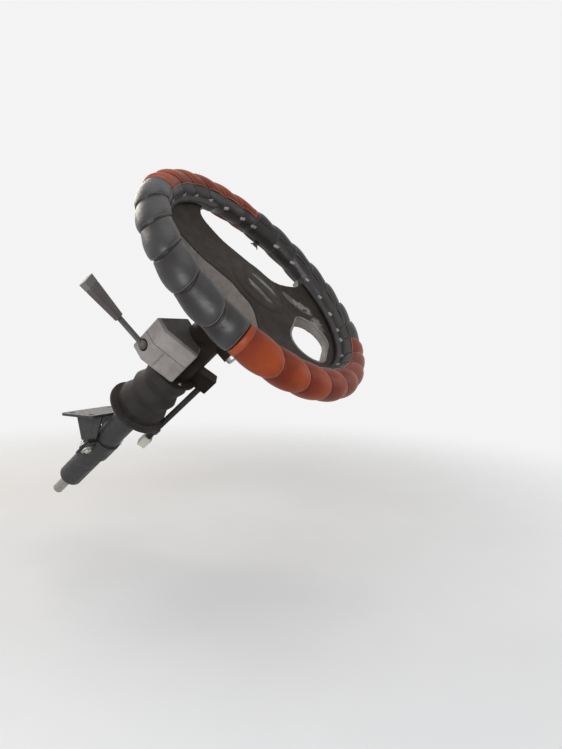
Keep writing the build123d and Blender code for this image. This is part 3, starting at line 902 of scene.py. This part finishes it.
def knot():
    """Where the lace ends: the knot's coil and its two short ends."""
    middle = cover_point(KNOT_AT, KNOT_SECTION, VALLEY_R + KNOT_OUT)
    out = outward(middle)
    ahead, behind = (cover_point(KNOT_AT + x, KNOT_SECTION, VALLEY_R) for x in (1, -1))
    along = (ahead - behind).normalized()
    side = out.cross(along)
    coil = []
    for x in spread(0, 1, steps=60):
        a = 2 * pi * KNOT_TURNS * x
        turn = out * (KNOT_R * cos(a)) + side * (KNOT_R * sin(a))
        coil.append(middle + (turn + along * (KNOT_LONG * (x - 0.5))) * MM)
    strips = [(tube(coil, KNOT_THREAD_R, 9), False)]
    for way, high in KNOT_ENDS:
        end = []
        for x in spread(0, 1, steps=7):
            run = along * (way * (KNOT_END_FROM + KNOT_END_RUN * x))
            rise = out * (1 + high * x * (1.3 - 0.5 * x))
            end.append(middle + (run + rise + side * (KNOT_END_BEND * x * x)) * MM)
        strips.append((tube(end, KNOT_END_R, flat=KNOT_END_FLAT), False))
    return strips


def add_laces():
    """A pale stitch at each seam, whose pale colour is partly a painted highlight on the band's puffs, the
    thread that runs from it to both edges, and the lace's knot.
    """
    stitches, threads = [], []
    for _, first, _ in lobe_marks():
        path = stitch_path(first)
        up = [outward(p) for p in path]
        stitches.append((tube(path, STITCH_R, 12, flat=STITCH_FLAT, up=up), False))
        path = thread_path(first)
        up = [outward(p) for p in path]
        threads.append((tube(path, THREAD_R, 7, flat=THREAD_FLAT, up=up), False))
    threads += knot()
    for name, strips, mat in (("cover_stitches", stitches, "lace"), ("cover_threads", threads, "thread")):
        piece = many(name, strips, mat, "wheel")


def add_cover():
    add_skins()
    add_band()
    add_edges()
    add_hems()
    add_laces()


# Moulding and horn pad

def keep_largest(mesh):
    """Takes away the specks that remeshing leaves beside the solid."""
    work = bmesh.new()
    work.from_mesh(mesh)
    left, parts = set(work.verts), []
    while left:
        part, stack = set(), [left.pop()]
        while stack:
            vert = stack.pop()
            part.add(vert)
            for edge in vert.link_edges:
                other = edge.other_vert(vert)
                if other in left:
                    left.remove(other)
                    stack.append(other)
        parts.append(part)
    parts.sort(key=len)
    for part in parts[:-1]:
        bmesh.ops.delete(work, geom=list(part), context="VERTS")
    work.to_mesh(mesh)
    work.free()


def add_moulding():
    """A finely meshed copy of the moulding with its edges rounded, which stands for it."""
    skin = bpy.data.objects.new("spoke_moulding_skin", frame["nodes"]["spoke_moulding"].data.copy())
    bpy.context.scene.collection.objects.link(skin)
    grid = skin.modifiers.new("grid", "REMESH")
    grid.mode = "VOXEL"
    grid.voxel_size = MOULDING_VOXEL * MM
    even = skin.modifiers.new("even", "SMOOTH")
    even.factor = 0.5
    even.iterations = MOULDING_ROUNDS
    bpy.context.view_layer.update()
    shaped = skin.evaluated_get(bpy.context.evaluated_depsgraph_get())
    mesh = bpy.data.meshes.new_from_object(shaped)
    skin.modifiers.clear()
    skin.data = mesh
    keep_largest(mesh)
    mesh.materials.clear()
    mesh.materials.append(MATS["wheel"])
    mesh.polygons.foreach_set("use_smooth", [True] * len(mesh.polygons))
    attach(skin, "wheel")
    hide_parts("spoke_moulding")


def turned(x, y):
    """A point of the wheel's own frame, turned as the wheel is parked."""
    a = radians(PARKED_TURN)
    return x * cos(a) - y * sin(a), x * sin(a) + y * cos(a)


def face_height(r):
    """Height of the moulding's face at a distance from the wheel's centre."""
    if r < WAIST_R:
        return FACE_HUB + (FACE_WAIST - FACE_HUB) * soft(HUB_EDGE_R, WAIST_R, r)
    x = (r - WAIST_R) / (FACE_RIM_R - WAIST_R)
    return FACE_WAIST + (FACE_RIM - FACE_WAIST) * x - FACE_SAG * 4 * x * (1 - x)


def dome_height(r):
    """Height of the horn pad's face at a distance from its middle."""
    return PAD_TOP - PAD_DOME_R + sqrt(PAD_DOME_R ** 2 - r * r)


def add_lip():
    """A raised welt round the oval opening: two half circles and the straights between them."""
    end, r = (OVAL_LONG - OVAL_WIDE) / 2, OVAL_WIDE / 2 + LIP_OUT
    path = []
    for side in (1, -1):
        for a in spread(-90 * side, 180 - 90 * side, steps=24):
            x = side * end + r * cos(radians(a))
            y = -OVAL_OUT + r * sin(radians(a))
            path.append(at_wheel(*turned(x, y), face_height(hypot(x, y)) - LIP_SINK))
    welt = tube(path, LIP_R, 12, closed=True, up=[AXIS] * len(path))
    lip = many("oval_lip", [(welt, True)], "lip", "wheel")


def add_pad():
    """The soft skin of the horn pad, whose edge lies over the joint with the moulding."""
    profile = [(r, dome_height(r)) for r in spread(PAD_TIP_R, PAD_R, steps=18)]
    dome_edge = dome_height(PAD_R)
    fall = face_height(PAD_SKIRT_R) - PAD_SKIRT_SINK - dome_edge
    for x in spread(0, 1, steps=6)[1:]:
        profile.append((PAD_R + (PAD_SKIRT_R - PAD_R) * x, dome_edge + fall * soft(0, 1, x)))
    profile += [(PAD_BACK_R, PAD_BACK), (PAD_TIP_R, PAD_BACK)]
    loops = turned_loops(profile, CENTRE, AXIS, sides=96)
    pad = many("horn_pad_skin", [(loops, False)], "wheel", "wheel")
    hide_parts("horn_pad")


def add_ribs():
    """Three fine ribs on each side of the horn pad, with their ends sunk into it."""
    strips = []
    for side in (1, -1):
        for out in RIBS_OUT:
            half = RIB_LONG / 2 - (out - RIBS_OUT[0]) * RIB_SHORTER
            ys = spread(RIB_MIDDLE - half, RIB_MIDDLE + half, steps=12)
            path = []
            for y in ys:
                u, v = turned(side * (out - RIB_LEAN * y), y)
                lift = -RIB_END_SINK if y in (ys[0], ys[-1]) else RIB_LIFT
                path.append(at_wheel(u, v, dome_height(hypot(u, v)) + lift))
            strips.append((tube(path, RIB_R, flat=RIB_FLAT, up=[AXIS] * len(path)), False))
    ribs = many("pad_ribs", strips, "rib", "wheel")


# Column: housing, lever, sleeve, bracket and fasteners

def soften(node, mat, width):
    """A copy of a CAD solid with its edges rounded, which stands for it."""
    skin = bpy.data.objects.new(node + "_skin", frame["nodes"][node].data.copy())
    bpy.context.scene.collection.objects.link(skin)
    mesh = skin.data
    work = bmesh.new()
    work.from_mesh(mesh)
    bmesh.ops.remove_doubles(work, verts=work.verts, dist=1e-6)
    bmesh.ops.dissolve_limit(work, angle_limit=radians(1), verts=work.verts, edges=work.edges)
    work.to_mesh(mesh)
    work.free()
    if "custom_normal" in mesh.attributes:
        mesh.attributes.remove(mesh.attributes["custom_normal"])
    mesh.set_sharp_from_angle(angle=radians(SHARP_FROM))
    mesh.materials.clear()
    mesh.materials.append(MATS[mat])
    edges = skin.modifiers.new("edges", "BEVEL")
    edges.width = width * MM
    edges.segments = 3
    edges.limit_method = "ANGLE"
    edges.angle_limit = radians(ROUNDED_FROM)
    edges.harden_normals = True
    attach(skin, "column")
    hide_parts(node)


def add_seal():
    """The dark lip inside the split between the housing's two shells."""
    mid_u, mid_v = (sum(values) / len(HOUSE_PLAN) for values in zip(*HOUSE_PLAN))
    path = []
    for (u, v), (next_u, next_v) in zip(HOUSE_PLAN, HOUSE_PLAN[1:] + HOUSE_PLAN[:1]):
        for x, inset in ((0.0, SEAL_CORNER_IN), (0.05, SEAL_IN), (0.5, SEAL_IN), (0.95, SEAL_IN)):
            off_u = u + (next_u - u) * x - mid_u
            off_v = v + (next_v - v) * x - mid_v
            share = 1 - inset / hypot(off_u, off_v)
            path.append(at_wheel(mid_u + off_u * share, mid_v + off_v * share, HOUSE_SPLIT))
    lip = tube(path, SEAL_R, closed=True, up=[AXIS] * len(path))
    seal = many("housing_seal", [(lip, True)], "pad", "column")


def add_loom():
    """The wiring's sleeve, a ribbed conduit held straight between the carrier's block and the clip."""
    a = radians(LOOM_ANGLE)
    top = at_wheel(LOOM_OUT * cos(a), LOOM_OUT * sin(a), LOOM_TOP)
    count = round(LOOM_LONG / LOOM_PITCH)
    step = LOOM_LONG / count
    groove = LOOM_R - LOOM_RIB
    profile = [(groove, -LOOM_LONG)]
    for k in range(count):
        for share, r in ((0.1, groove), (0.3, LOOM_R), (0.7, LOOM_R), (0.9, groove)):
            profile.append((r, (k + share) * step - LOOM_LONG))
    profile.append((groove, 0.0))
    loops = turned_loops(profile, top, AXIS, sides=24)
    loom = many("switch_loom_skin", [(loops, False)], "loom", "column")
    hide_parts("switch_loom")


def screw_head(middle, axis, r):
    """A pan head with a cross let into it."""
    ways = circle(axis, SCREW_SIDES)
    loops = [[middle + way * (r * MM) - axis * (SCREW_SINK * MM) for way in ways]]
    for i in range(SCREW_RINGS):
        a = radians(SCREW_RISE * i)
        out, high = r * cos(a), r * SCREW_DOME * sin(a)
        loop = []
        for k, way in enumerate(ways):
            b = 2 * pi * k / SCREW_SIDES
            crossed = out * min(abs(cos(b)), abs(sin(b))) < r * CROSS_HALF and out < r * CROSS_OUT
            sink = r * CROSS_DEEP if crossed else 0
            loop.append(middle + (way * out + axis * (high - sink)) * MM)
        loops.append(loop)
    return loops


def add_screws():
    """Screws on the carrier's flange and under the housing."""
    screws = []
    for angle in FLANGE_SCREWS:
        u, v = FLANGE_SCREW_OUT * cos(radians(angle)), FLANGE_SCREW_OUT * sin(radians(angle))
        screws.append((screw_head(at_wheel(u, v, FLANGE_FACE), AXIS, FLANGE_SCREW_R), False))
    for u, v in HOUSE_SCREWS:
        screws.append((screw_head(at_wheel(u, v, HOUSE_BOTTOM), -AXIS, HOUSE_SCREW_R), False))
    heads = many("column_screws", screws, "bolt", "column")


def hex_bolt(middle, axis, high):
    """A washer and a hexagon on it, with a chamfered top."""
    corner = BOLT_ACROSS / sqrt(3)
    head = (
        (corner, 1.2), (corner, high - 1.0),
        (corner * BOLT_CHAMFER, high), (corner * BOLT_TOP, high + 0.05),
    )
    return [(turned_loops(WASHER, middle, axis, 24), False), (turned_loops(head, middle, axis, 6), False)]


def add_clamp_bolts():
    """The two bolts that close the clamp band, with their nuts and thread ends."""
    bolts = []
    for x in (-CLAMP_BOLT_X, CLAMP_BOLT_X):
        split = Vector((x, 0, -BRACKET_RISE)) * MM
        ear = UP * (CLAMP_FACE * MM)
        bolts += hex_bolt(split - ear, -UP, BOLT_HEAD)
        bolts += hex_bolt(split + ear, UP, BOLT_NUT)
        bolts.append((turned_loops(BOLT_STUB, split + ear, UP, 20), False))
    clamp = many("clamp_bolts", bolts, "bolt", "column")
    clamp.data.polygons.foreach_set("use_smooth", [False] * len(clamp.data.polygons))


def add_column():
    for node, (mat, width) in SOFTENED.items():
        soften(node, mat, width)
    add_seal()
    add_loom()
    add_screws()
    add_clamp_bolts()


# Camera, light and floor

def add_camera():
    data = bpy.data.cameras.new("camera")
    data.lens = CAMERA_LENS
    data.sensor_width = CAMERA_SENSOR
    data.clip_start = CAMERA_NEAR
    camera = bpy.data.objects.new("camera", data)
    bpy.context.scene.collection.objects.link(camera)
    camera.location = CENTRE + CAMERA_OFFSET
    camera.rotation_euler = (radians(90 + CAMERA_PITCH), 0, radians(-CAMERA_HEADING))
    bpy.context.scene.camera = camera


def add_lights():
    """Area lamps that all point at the wheel's centre."""
    for name, place, size, power, color in LAMPS:
        data = bpy.data.lights.new(name, "AREA")
        data.shape = "RECTANGLE"
        data.size, data.size_y = size
        data.energy = power
        data.color = color
        lamp = bpy.data.objects.new(name, data)
        bpy.context.scene.collection.objects.link(lamp)
        lamp.location = place
        lamp.rotation_euler = (CENTRE - Vector(place)).to_track_quat("-Z", "Y").to_euler()


def add_world():
    """White for rays that see the backdrop or reflect it, dim for rays that only gather its light."""
    world = bpy.data.worlds.new("studio")
    bpy.context.scene.world = world
    world.use_nodes = True
    nodes, links = world.node_tree.nodes, world.node_tree.links
    nodes.clear()
    path = nodes.new("ShaderNodeLightPath")
    seen = path.outputs["Is Camera Ray"]
    for kind in ("Is Transmission Ray", "Is Glossy Ray"):
        either = nodes.new("ShaderNodeMath")
        either.operation = "MAXIMUM"
        links.new(seen, either.inputs[0])
        links.new(path.outputs[kind], either.inputs[1])
        seen = either.outputs[0]
    mix = nodes.new("ShaderNodeMixShader")
    links.new(seen, mix.inputs[0])
    for socket, (color, strength) in zip(mix.inputs[1:], (DIM, WHITE)):
        backdrop = nodes.new("ShaderNodeBackground")
        backdrop.inputs["Color"].default_value = (*color, 1)
        backdrop.inputs["Strength"].default_value = strength
        links.new(backdrop.outputs[0], socket)
    out = nodes.new("ShaderNodeOutputWorld")
    links.new(mix.outputs[0], out.inputs[0])


def add_floor():
    """A pale floor that takes the shadow, fades into the white around it and is clear from below."""
    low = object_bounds()[0][2] - FLOOR_DROP
    bpy.ops.mesh.primitive_plane_add(size=FLOOR_SIZE, location=(0, 0, low))
    floor = bpy.context.object
    floor.name = "floor"
    s = Shader("floor")
    s.done(s.mix(s.spots(3, 3), (0.90, 0.895, 0.89), (0.93, 0.925, 0.92)), 0.85, Specular_IOR_Level=0.1)
    above = s.math("SUBTRACT", 1.0, s.new("ShaderNodeNewGeometry").outputs["Backfacing"])
    shown = s.math("MULTIPLY", s.near((0, 0, 0), *FLOOR_FADE), above)
    clear = s.new("ShaderNodeBsdfTransparent")
    mix = s.new("ShaderNodeMixShader")
    for socket, source in zip(mix.inputs, (shown, clear.outputs[0], s.bsdf.outputs[0])):
        s.link(source, socket)
    s.link(mix.outputs[0], s.tree.nodes["Material Output"].inputs["Surface"])
    floor.data.materials.append(s.mat)


def main():
    bpy.context.scene.view_settings.view_transform = "Standard"
    add_camera()
    add_lights()
    add_world()
    add_floor()
    make_cover_materials()
    make_wheel_materials()
    make_column_materials()
    paint_cad()
    add_cover()
    add_moulding()
    add_lip()
    add_pad()
    add_ribs()
    add_column()


main()
